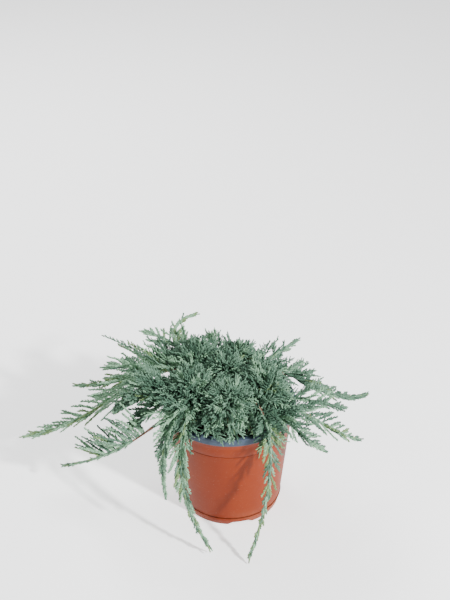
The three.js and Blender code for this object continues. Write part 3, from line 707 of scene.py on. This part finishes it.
def sprays_along(shoot, seed):
    draw, between = seeded_random(seed), seeded_random(seed + BETWEEN_SEED)
    spacing = SHORT_SHOOT_SPACING if shoot["reach"] < OPEN_RADIUS else SPRAY_SPACING
    bare, last = shoot["bare"], COMB_ENDS.get(shoot["name"], LAST_SPRAY)
    more = DENSE.get(shoot["name"], BETWEEN)
    count = round(shoot["length"] * (1 - bare) / spacing)
    grown = []
    for i in range(count):
        place = lerp(FIRST_SPRAY, last, (i + draw() * PLACE_PLAY) / count)
        grown.append(spray_at(shoot, lerp(bare, 1, place), i, draw))
        for k in range(more):
            part = (k + BETWEEN_PLAY + BETWEEN_PLAY * between()) / (more + 1)
            place = lerp(FIRST_SPRAY, last, (i + part) / count)
            grown.append(spray_at(shoot, lerp(bare, 1, place), i + k + 1, between, BETWEEN_SIZE))
    return grown


print("sprays on", shoots[0]["name"], len(sprays_along(shoots[0], 1)))

# %% [markdown]
# The round shoots have one foot in the middle of their tuft. Sprays stand out of it in all
# directions but straight down, turned by the golden angle, so the mound shows no rows. OUTER and
# FILL give their number, their first turn and how far they reach below level. Boughs carry sprays
# too, which close the crown down to the pot's rim and a little past it, up to the shoot's own
# foliage or as far as CLOTHED_TO gives. A pair such as BOUGH_LEANS is a least value and what a
# draw may add.

# %% Mound sprays
CORE_SHARE = 0.62
OUTER, FILL = (36, 0, 0.15), (84, 60, 0.5)
FILL_BARE = 9
ROUND_RISE, ROUND_SHARE = 0.6, 0.6
TRAIL_SPRAYS = 14
TRAIL_LENGTH = 27
TRAIL_FROM, TRAIL_TO = 0.4, 0.96
BOUGH_SEED = 900
BOUGH_FROM, BOUGH_TO = 0.1, 0.8
BOUGH_PITCH, BOUGH_STEPS = 3.0, (0.7, 0.6)
BOUGH_LEANS, BOUGH_SIZES = (42, 26), (0.8, 0.45)
CLOTHED_FROM, CLOTHED_RADIUS = 16, 112
CLOTHED_TO = {"front_left": 0.92, "front_short": 0.8, "front_right": 0.85, "left_low": 0.36,
              "hang_right": 0.57, "hang_left": 0.5, "hang_left_outer": 0.5, "right_lowest": 0.62,
              "right_mid": 0.36}


def tuft_direction(i, count, turn, below):
    height = 1 - (1 + below) * (i + 0.5) / count
    return polar(GOLDEN_ANGLE * i + turn, sqrt(1 - height * height), height)


def sprays_round(shoot, seed):
    draw, between = seeded_random(seed), seeded_random(seed + BETWEEN_SEED)
    foot = on_stem(shoot["points"], CORE_SHARE)
    grown = []
    for source, (count, turn, below) in ((draw, OUTER), (between, FILL)):
        for i in range(count):
            direction = tuft_direction(i, count, turn, below)
            length = shoot["fan"] * (1 + LENGTH_PLAY * (2 * source() - 1))
            bare = 0 if source is draw else FILL_BARE * between()
            forward = (polar(360 * between(), 1, ROUND_RISE) + direction).normalized()
            grown.append({"root": foot + direction * bare, "direction": direction,
                          "forward": forward, "length": length - bare, "open": 0,
                          "shoot": shoot, "share": ROUND_SHARE})
    for i in range(TRAIL_SPRAYS):
        share = lerp(TRAIL_FROM, TRAIL_TO, (i + 0.5) / TRAIL_SPRAYS)
        turn = radians(GOLDEN_ANGLE * i)
        grown.append(spray_on(shoot, share, radians(MOUND_LEAN), turn, TRAIL_LENGTH))
    return grown


def sprays_on_bough(shoot, seed):
    draw = seeded_random(seed + BOUGH_SEED)
    grown = []
    t, end = BOUGH_FROM, CLOTHED_TO.get(shoot["name"], shoot["bare"] or BOUGH_TO)
    while t < end:
        if CLOTHED_FROM < hypot(*on_stem(shoot["points"], t).xy) < CLOTHED_RADIUS:
            lean = radians(varied(draw, BOUGH_LEANS))
            turn = radians(GOLDEN_ANGLE * len(grown))
            grown.append(spray_on(shoot, t, lean, turn, TRAIL_LENGTH * varied(draw, BOUGH_SIZES)))
        t += BOUGH_PITCH / shoot["length"] * varied(draw, BOUGH_STEPS)
    return grown


sprays = []
for index, shoot in enumerate(shoots):
    grow = sprays_round if shoot["tilt"] is None else sprays_along
    sprays += grow(shoot, index + 1) + sprays_on_bough(shoot, index + 1)
print("sprays:", len(sprays))

# %% [markdown]
# ## Branchlets
#
# A spray bends a little forward, and its branchlets stand in the plane of that bend. They come in
# turn from either side, less than three millimetres apart, and get shorter towards the spray's
# tip, so the outline of a spray is a narrow leaf shape. A pair in MOUND_TO_OPEN is a value in the
# mound and in the open fan. Anything that would run into the pot, the growing medium or the
# ground is left out, as in the source.

# %% Branchlet settings
MOUND_TO_OPEN = {"pitch": (2.8, 2.4), "length": (12.5, 5), "lean": (31, 27), "roll": (60, 120),
                 "width": (1.02, 1.45), "axis_width": (1.2, 1.5)}
POT_TOP_MM, RIM_MM, BORE_MM, BED_MM, GROUND_MM = 157, 85, 76, 141.5, 2.5
SPRAY_SEED = 3000
SPRAY_BEND, BEND_SIZES = 0.13, (0.4, 1.2)
SPRAY_MARGIN, BRANCHLET_MARGIN = 1.5, 1
LEAST_LENGTH, SHORTENING, TESTED_SHARES = 8, 0.8, (0.3, 0.6, 1)
FIRST_BRANCHLET, TIP_ROOM = 3.5, 4
PITCH_PLAY, WIDTH_PLAY, BRANCHLET_SWAY = 1.2, 0.25, 14
BRANCHLET_SIZES, BRANCHLET_BENDS = (0.75, 0.5), (0.05, 0.08)
YOUNG_SHARE, YOUNG_LENGTH = 0.4, 40
print("least spray:", LEAST_LENGTH, "mm")

# %% Branchlet rule
def by_openness(spray, key):
    return lerp(*MOUND_TO_OPEN[key], spray["open"])


def clear_of_pot(point, margin):
    radius = hypot(point.x, point.y)
    if point.z > POT_TOP_MM + margin or radius > RIM_MM + margin:
        return point.z > GROUND_MM + margin
    return radius < BORE_MM - margin and point.z > BED_MM


def bent_place(twig, share):
    distance = twig["length"] * share
    return (twig["root"] + twig["direction"] * distance
            + twig["forward"] * (distance * share * twig["bend"]))


def finished(twig):
    direction = twig["direction"]
    forward = twig["forward"] - direction * twig["forward"].dot(direction)
    if forward.length < 1e-3:
        forward = direction.orthogonal()
    twig["forward"] = forward.normalized()
    return twig


def swell_at(share):
    """Branchlets are longest near a quarter of the spray's length."""
    return 0.55 + 0.45 * sin(pi * min(1, 0.25 + share * 0.9))


def branchlets_of(spray, draw):
    grown = []
    pitch, longest = by_openness(spray, "pitch"), by_openness(spray, "length")
    young = min(1, YOUNG_SHARE + spray["length"] / YOUNG_LENGTH)
    for i in range(int((spray["length"] - TIP_ROOM) / pitch)):
        share = (FIRST_BRANCHLET + i * pitch + PITCH_PLAY * draw()) / spray["length"]
        hand = 1 if i % 2 else -1
        lean = radians(by_openness(spray, "lean") + swayed(draw, BRANCHLET_SWAY))
        roll = radians(swayed(draw, by_openness(spray, "roll")))
        normal = spray["direction"].cross(spray["forward"])
        across = spray["forward"] * cos(roll) + normal * sin(roll)
        direction = spray["direction"] * cos(lean) + across * (hand * sin(lean))
        root = bent_place(spray, share)
        twig = {"root": root, "direction": direction.normalized(), "forward": spray["direction"],
                "length": longest * swell_at(share) * varied(draw, BRANCHLET_SIZES) * young,
                "width": by_openness(spray, "width") + WIDTH_PLAY * draw(),
                "bend": varied(draw, BRANCHLET_BENDS), "spray": spray, "share": share}
        ends = root, root + direction * twig["length"]
        if all(clear_of_pot(end, BRANCHLET_MARGIN) for end in ends):
            grown.append(finished(twig))
    return grown


def reaches_pot(spray):
    return not all(clear_of_pot(bent_place(spray, t), SPRAY_MARGIN) for t in TESTED_SHARES)


grown_sprays = []
branchlets = []
for index, spray in enumerate(sprays):
    draw = seeded_random(SPRAY_SEED + index)
    spray["bend"] = SPRAY_BEND * varied(draw, BEND_SIZES)
    finished(spray)
    while spray["length"] > LEAST_LENGTH and reaches_pot(spray):
        spray["length"] *= SHORTENING
    if spray["length"] > LEAST_LENGTH:
        spray["width"] = by_openness(spray, "axis_width")
        grown_sprays.append(spray)
        branchlets += branchlets_of(spray, draw)
print("sprays kept:", len(grown_sprays), "branchlets:", len(branchlets))

# %% [markdown]
# The leading end of each shoot is clothed as well: short branchlets lie close along the stem all
# round it, which makes the slim tail past the last side twig.

# %% Leader branchlets
LEADER_SEED = 4000
LEADER_FROM, LEADER_GAP, LEADER_END = 0.3, 4, 1
LEADER_LEANS, LEADER_LENGTHS, LEADER_PITCHES = (12, 18), (6, 4), (0.9, 0.4)
LEADER_WIDTH, LEADER_BEND = 1.6, 0.12


def leader_branchlets(shoot, seed):
    draw = seeded_random(seed + LEADER_SEED)
    length = shoot["length"]
    first = COMB_ENDS.get(shoot["name"], max(shoot["bare"], LEADER_FROM))
    grown = []
    distance = length * first + LEADER_GAP
    while distance < length - LEADER_END:
        lean, turn = radians(varied(draw, LEADER_LEANS)), radians(GOLDEN_ANGLE * len(grown))
        twig = spray_on(shoot, distance / length, lean, turn, varied(draw, LEADER_LENGTHS), 1)
        twig.update(width=LEADER_WIDTH, bend=LEADER_BEND, spray=twig)
        if clear_of_pot(twig["root"], BRANCHLET_MARGIN):
            grown.append(finished(twig))
        distance += varied(draw, LEADER_PITCHES)
    return grown


for index, shoot in enumerate(shoots):
    if shoot["tilt"] is not None:
        branchlets += leader_branchlets(shoot, index)
print("with the leaders:", len(branchlets), "branchlets")

# %% [markdown]
# ## One branchlet, modelled once
#
# The scale leaves sit in pairs, each pair turned a quarter against the last, and close up they
# give the twig a braided edge. A square ring of four corners is extruded upwards, each ring
# turned by an eighth and alternately wide and narrow, and the last is drawn to a short, blunt
# point. That is a few dozen faces, few enough for thousands of copies.

# %% Branchlet prototype
FOOT_WIDTH = 0.8
RING_WIDTHS = (0.74, 1.0)
POINT = 0.1


def extruded(mesh, cap, keep_below):
    """The corners and faces of a cap that was drawn out, without the old cap inside."""
    made = bmesh.ops.extrude_face_region(mesh, geom=cap)["geom"]
    bmesh.ops.delete(mesh, geom=[] if keep_below else cap, context="FACES_ONLY")
    corners = [item for item in made if isinstance(item, bmesh.types.BMVert)]
    return corners, [item for item in made if isinstance(item, bmesh.types.BMFace)]


def scaly_twig(rings, taper):
    mesh = bmesh.new()
    bmesh.ops.create_circle(mesh, cap_ends=True, segments=4, radius=FOOT_WIDTH)
    top = mesh.faces[:]
    for i in range(1, rings + 1):
        corners, top = extruded(mesh, top, i == 1)
        bmesh.ops.translate(mesh, verts=corners, vec=(0, 0, (1 - POINT) / rings))
        bmesh.ops.rotate(mesh, verts=corners, matrix=Matrix.Rotation(pi / 4, 3, "Z"))
        wide = RING_WIDTHS[i % 2] * (1 - taper * i / rings)
        size = wide / max(corner.co.xy.length for corner in corners)
        bmesh.ops.scale(mesh, verts=corners, vec=(size, size, 1))
    tip = bmesh.ops.poke(mesh, faces=top)["verts"]
    bmesh.ops.translate(mesh, verts=tip, vec=(0, 0, POINT))
    bmesh.ops.triangulate(mesh, faces=mesh.faces)
    bmesh.ops.recalc_face_normals(mesh, faces=mesh.faces)
    mesh.verts.index_update()
    corners = np.array([corner.co for corner in mesh.verts])
    faces = np.array([[corner.index for corner in face.verts] for face in mesh.faces])
    mesh.free()
    return corners, faces


BRANCHLET = scaly_twig(rings=3, taper=0.35)
SPRAY_AXIS = scaly_twig(rings=9, taper=0.55)
print("triangles: branchlet", len(BRANCHLET[1]), "spray axis", len(SPRAY_AXIS[1]))

# %% [markdown]
# ## Copies from arrays
#
# The export drops particles and instances, so the copies are made real here. The twigs' roots,
# directions, lengths and widths are arrays, and one expression moves the corners of every copy at
# once. The bend is a parabola along the twig, added as the corners are moved, so all copies share
# one straight prototype.

# %% Stamping
MOST_TRIANGLES = 190000
MILLIMETRE = 0.001


def stamped(prototype, twigs):
    corners, faces = prototype
    root, direction, forward, length, width, bend = (
        np.array([twig[key] for twig in twigs], float).reshape(len(twigs), 1, -1)
        for key in ("root", "direction", "forward", "length", "width", "bend"))
    normal = np.cross(direction, forward)
    x, y, z = (corners[None, :, i, None] for i in range(3))
    places = (root + normal * (width * x) + forward * (width * y + length * bend * z * z)
              + direction * (length * z))
    first = np.arange(len(twigs))[:, None, None] * len(corners)
    return places.reshape(-1, 3) * MILLIMETRE, (faces[None] + first).reshape(-1, 3)


def mesh_from_arrays(name, places, triangles):
    data = bpy.data.meshes.new(name)
    data.vertices.add(len(places))
    data.vertices.foreach_set("co", places.ravel())
    data.loops.add(triangles.size)
    data.loops.foreach_set("vertex_index", triangles.ravel().astype(np.int32))
    data.polygons.add(len(triangles))
    data.polygons.foreach_set("loop_start", np.arange(0, triangles.size, 3, dtype=np.int32))
    data.update(calc_edges=True)
    data.shade_smooth()
    return data


def add_stamped(name, prototype, twigs, finish):
    room = MOST_TRIANGLES // len(prototype[1])
    for part, start in enumerate(range(0, len(twigs), room), 1):
        places, triangles = stamped(prototype, twigs[start:start + room])
        piece_name = f"{name}_{part}"
        data = mesh_from_arrays(piece_name, places, triangles)
        data.materials.append(finish)
        piece = placed(piece_name, data)
        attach(piece, "root")
        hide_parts(*masses)
        print(piece_name, len(triangles), "triangles")


print("most triangles in a piece:", MOST_TRIANGLES)

# %% [markdown]
# ## Finishes of the foliage
#
# The plant's blue-green is a waxy bloom over a darker green, heavier on some sprays than on
# others, and the pale tone of the bloom is also painted light on the left and back shoots. Growing
# tips are yellower, and a few old sprays have browned. Each tone is a material of its own, dealt
# out spray by spray, and fine noise between a darker and a lighter shade of it breaks it up the way
# scale leaves do.

# %% Foliage finishes
TONES = {
    "blue_green": (99, 133, 110),
    # The pale tone: waxy bloom, and on the left and back shoots also painted light.
    "pale_bloom": (132, 172, 139),
    "deep_green": (72, 105, 85),
    "yellow_green": (120, 148, 100),
    "browned": (122, 92, 64),
}
SHADE, LIGHT, LIFT = 0.62, 1.3, 0.015


def finish_of_foliage(name, colour):
    material, shader, place = start_finish(name)
    scales = clouds(place, 900.0, 2.0)
    bloom = step(clouds(place, 160.0, 2.0), 0.4, 0.7)
    colour = linear(*colour)
    shade = tuple(SHADE * value for value in colour[:3]) + (1,)
    light = tuple(min(1, LIGHT * value + LIFT) for value in colour[:3]) + (1,)
    base = mixed(step(scales, 0.3, 0.7), shade, colour)
    feed(shader, "Base Color", mixed(bloom * 0.5, base, light))
    feed(shader, "Roughness", 0.62 + 0.2 * scales)
    raised(shader, scales, 0.0005)
    shader.inputs["Specular IOR Level"].default_value = 0.3
    return material


FOLIAGE_FINISHES = {tone: finish_of_foliage(tone, colour) for tone, colour in TONES.items()}
print("foliage finishes:", ", ".join(FOLIAGE_FINISHES))

# %% [markdown]
# How likely a yellow tip or a pale bloom is differs from shoot to shoot. On the left and back
# shoots the pale tone is dealt out more often, as painted light on open sprays that the mound's
# shadow would darken. Shaded sprays stay greener, and only a short spray is ever browned.

# %% Deal the tones out by spray
YELLOWED = {"left_long": 0.4, "left_second": 0.35, "right_upper": 0.15, "right_low": 0.2,
            "hang_right": 0.3, "hang_left": 0.2, "back_left_arc": 0.4}
# Painted light: the high shares on the left and back shoots lighten sprays in the mound's shadow,
# on top of their waxy bloom.
BLOOMED_AND_PAINTED_LIGHT = {"left_long": 0.9, "left_second": 0.9, "left_upper": 0.8, "back_left_fan": 0.95,
           "back_left_arc": 0.95, "hang_left": 0.6, "hang_left_outer": 0.6, "left_low": 0.5,
           "right_upper": 0.1, "back_mid": 0.85}
ELSE_YELLOWED, ELSE_BLOOMED = 0.06, 0.35
BROWNED, BROWNED_LENGTH = 0.004, 16
SHADED, SHADED_SHARE = 0.3, 0.3
OPEN_BLUE, MOUND_BLUE, MOUND_GREEN = 0.7, 0.5, 0.8
TONE_SEED, BLOOM_SEED = 77, 78


def tone_of(spray):
    chance = deal()
    name, shaded = spray["shoot"]["name"], spray["open"] < SHADED
    if chance < BROWNED and spray["length"] < BROWNED_LENGTH:
        return "browned"
    yellow = YELLOWED.get(name, ELSE_YELLOWED) * spray["share"]
    if deal() < yellow * (SHADED_SHARE if shaded else 1):
        return "yellow_green"
    if shaded or name.startswith("mound"):
        if chance < MOUND_GREEN:
            return "blue_green" if chance < MOUND_BLUE else "deep_green"
        return "pale_bloom"
    if deal_bloom() < BLOOMED_AND_PAINTED_LIGHT.get(name, ELSE_BLOOMED):
        return "pale_bloom"
    return "blue_green" if chance < OPEN_BLUE else "deep_green"


deal, deal_bloom = seeded_random(TONE_SEED), seeded_random(BLOOM_SEED)
for spray in grown_sprays:
    spray["tone"] = tone_of(spray)
for twig in branchlets:
    if "tone" not in twig["spray"]:
        twig["spray"]["tone"] = tone_of(twig["spray"])
by_tone = {tone: [twig for twig in branchlets if twig["spray"]["tone"] == tone] for tone in TONES}
print("branchlets by tone:", {tone: len(twigs) for tone, twigs in by_tone.items()})

# %% Foliage pieces
for tone, finish in FOLIAGE_FINISHES.items():
    axes = [spray for spray in grown_sprays if spray["tone"] == tone]
    add_stamped("branchlets_" + tone, BRANCHLET, by_tone[tone], finish)
    add_stamped("sprays_" + tone, SPRAY_AXIS, axes, finish)

# %% [markdown]
# ## Bark
#
# Young juniper wood is red-brown, and its bark splits into thin strips that run with the stem.
# Noise stretched along a fixed axis would only be right on the upright trunk, so the strips are
# real relief: each corner of a limb moves in or out by a noise that is read at its angle round
# the limb and its distance along it.

# %% Bark finish
BARK_FINISH, shader, place = start_finish("juniper_bark")
flakes = clouds(place, 520.0, 4.0, 0.65)
colour = mixed(step(flakes, 0.35, 0.65), linear(88, 56, 42), linear(158, 112, 90))
colour = mixed(0.35 * step(clouds(place, 150.0), 0.5, 0.7), colour, linear(120, 108, 96))
feed(shader, "Base Color", colour)
feed(shader, "Roughness", 0.75 + 0.2 * flakes)
raised(shader, flakes, 0.0006)
print("bark finish:", len(BARK_FINISH.node_tree.nodes), "nodes")

# %% Limbs
RIDGES, RIDGE_STEP = 3, 0.22


def spot(corner):
    return tuple(round(value, 7) for value in corner.co)


def limb(mesh, stops, radii, sides, relief):
    """A closed limb along stops: a capped ring, extruded from stop to stop."""
    ring = bmesh.ops.create_circle(mesh, cap_ends=True, segments=sides, radius=1)["verts"]
    offsets = [corner.co.copy() for corner in ring]
    top = list({face for corner in ring for face in corner.link_faces})
    for i, (stop, radius) in enumerate(zip(stops, radii)):
        if i:
            order = {spot(corner): k for k, corner in enumerate(ring)}
            corners, top = extruded(mesh, top, i == 1)
            ring = sorted(corners, key=lambda corner: order[spot(corner)])
        before, after = stops[max(i - 1, 0)], stops[min(i + 1, len(stops) - 1)]
        turn = (after - before).to_track_quat("Z", "Y")
        for k, corner in enumerate(ring):
            angle = 2 * pi * k / sides
            around = (RIDGES * cos(angle), RIDGES * sin(angle))
            ridge = noise.noise((*around, i * RIDGE_STEP + stop.x))
            corner.co = stop + turn @ (offsets[k] * (radius * (1 + relief * ridge)))
    return mesh


def stem_limb(shoot, start, end, radii, sides, relief, pitch):
    count = max(2, round(shoot["length"] * (end - start) / pitch))
    shares = [i / count for i in range(count + 1)]
    stops = [on_stem(shoot["points"], lerp(start, end, share)) for share in shares]
    return stops, [lerp(*radii, share) for share in shares], sides, relief


def wooden_piece(name, limbs, nodes):
    mesh = bmesh.new()
    for stops, radii, sides, relief in limbs:
        limb(mesh, stops, radii, sides, relief)
    bmesh.ops.recalc_face_normals(mesh, faces=mesh.faces)
    bmesh.ops.scale(mesh, verts=mesh.verts, vec=(MILLIMETRE, MILLIMETRE, MILLIMETRE))
    piece = add_piece(name, mesh, BARK_FINISH)
    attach(piece, "root")
    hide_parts(*nodes)
    print(name, len(piece.data.polygons), "faces")


print("limbs: rings, extruded from stop to stop")

# %% [markdown]
# The trunk is stout and flares at its root. A bough is a limb from the trunk to where its foliage
# starts, and a finer twig goes on from there through the foliage to the tip of the shoot.

# %% Wooden pieces
TRUNK_STEPS = 30
TRUNK_RADII = (6.6, 5.4)
FLARE, FLARE_HEIGHT = 4.4, 6


def trunk_limb(sides, relief):
    steps = range(TRUNK_STEPS + 1)
    heights = [TRUNK_FOOT + TRUNK_HEIGHT * i / TRUNK_STEPS for i in steps]
    stops = [Vector((-(height - TRUNK_FOOT) * TRUNK_LEAN, 0, height)) for height in heights]
    flare = [FLARE * exp(-TRUNK_HEIGHT * i / TRUNK_STEPS / FLARE_HEIGHT) for i in steps]
    return stops, [lerp(*TRUNK_RADII, i / TRUNK_STEPS) + flare[i] for i in steps], sides, relief


bough_limbs = [stem_limb(shoot, 0, shoot["bare"], (1.9, 1.7), sides=10, relief=0.22, pitch=1.6)
               for shoot in shoots if shoot["bare"]]
twig_limbs = [stem_limb(shoot, shoot["bare"], 1, (1.5, 0.5), sides=6, relief=0.15, pitch=4)
              for shoot in shoots]
wooden_piece("trunk_bark", [trunk_limb(sides=24, relief=0.16)], ["trunk"])
wooden_piece("bough_bark", bough_limbs, boughs)
wooden_piece("stem_twigs", twig_limbs, masses)

# %% [markdown]
# ## Floor
#
# The floor is pale paper with a little tooth, and it glows a little, so that it stays white.

# %% Floor
FLOOR_HALF = 8

PAPER_FINISH, shader, place = start_finish("white_paper")
tooth = clouds(place, 60.0)
feed(shader, "Base Color", mixed(tooth, linear(246, 247, 248), linear(250, 250, 250)))
shader.inputs["Roughness"].default_value = 0.9
shader.inputs["Emission Color"].default_value = (1, 1, 1, 1)
shader.inputs["Emission Strength"].default_value = 1.0

paper = bmesh.new()
bmesh.ops.create_grid(paper, x_segments=1, y_segments=1, size=FLOOR_HALF)
floor = add_piece("paper_floor", paper, PAPER_FINISH)
print("floor width:", 2 * FLOOR_HALF, "m")
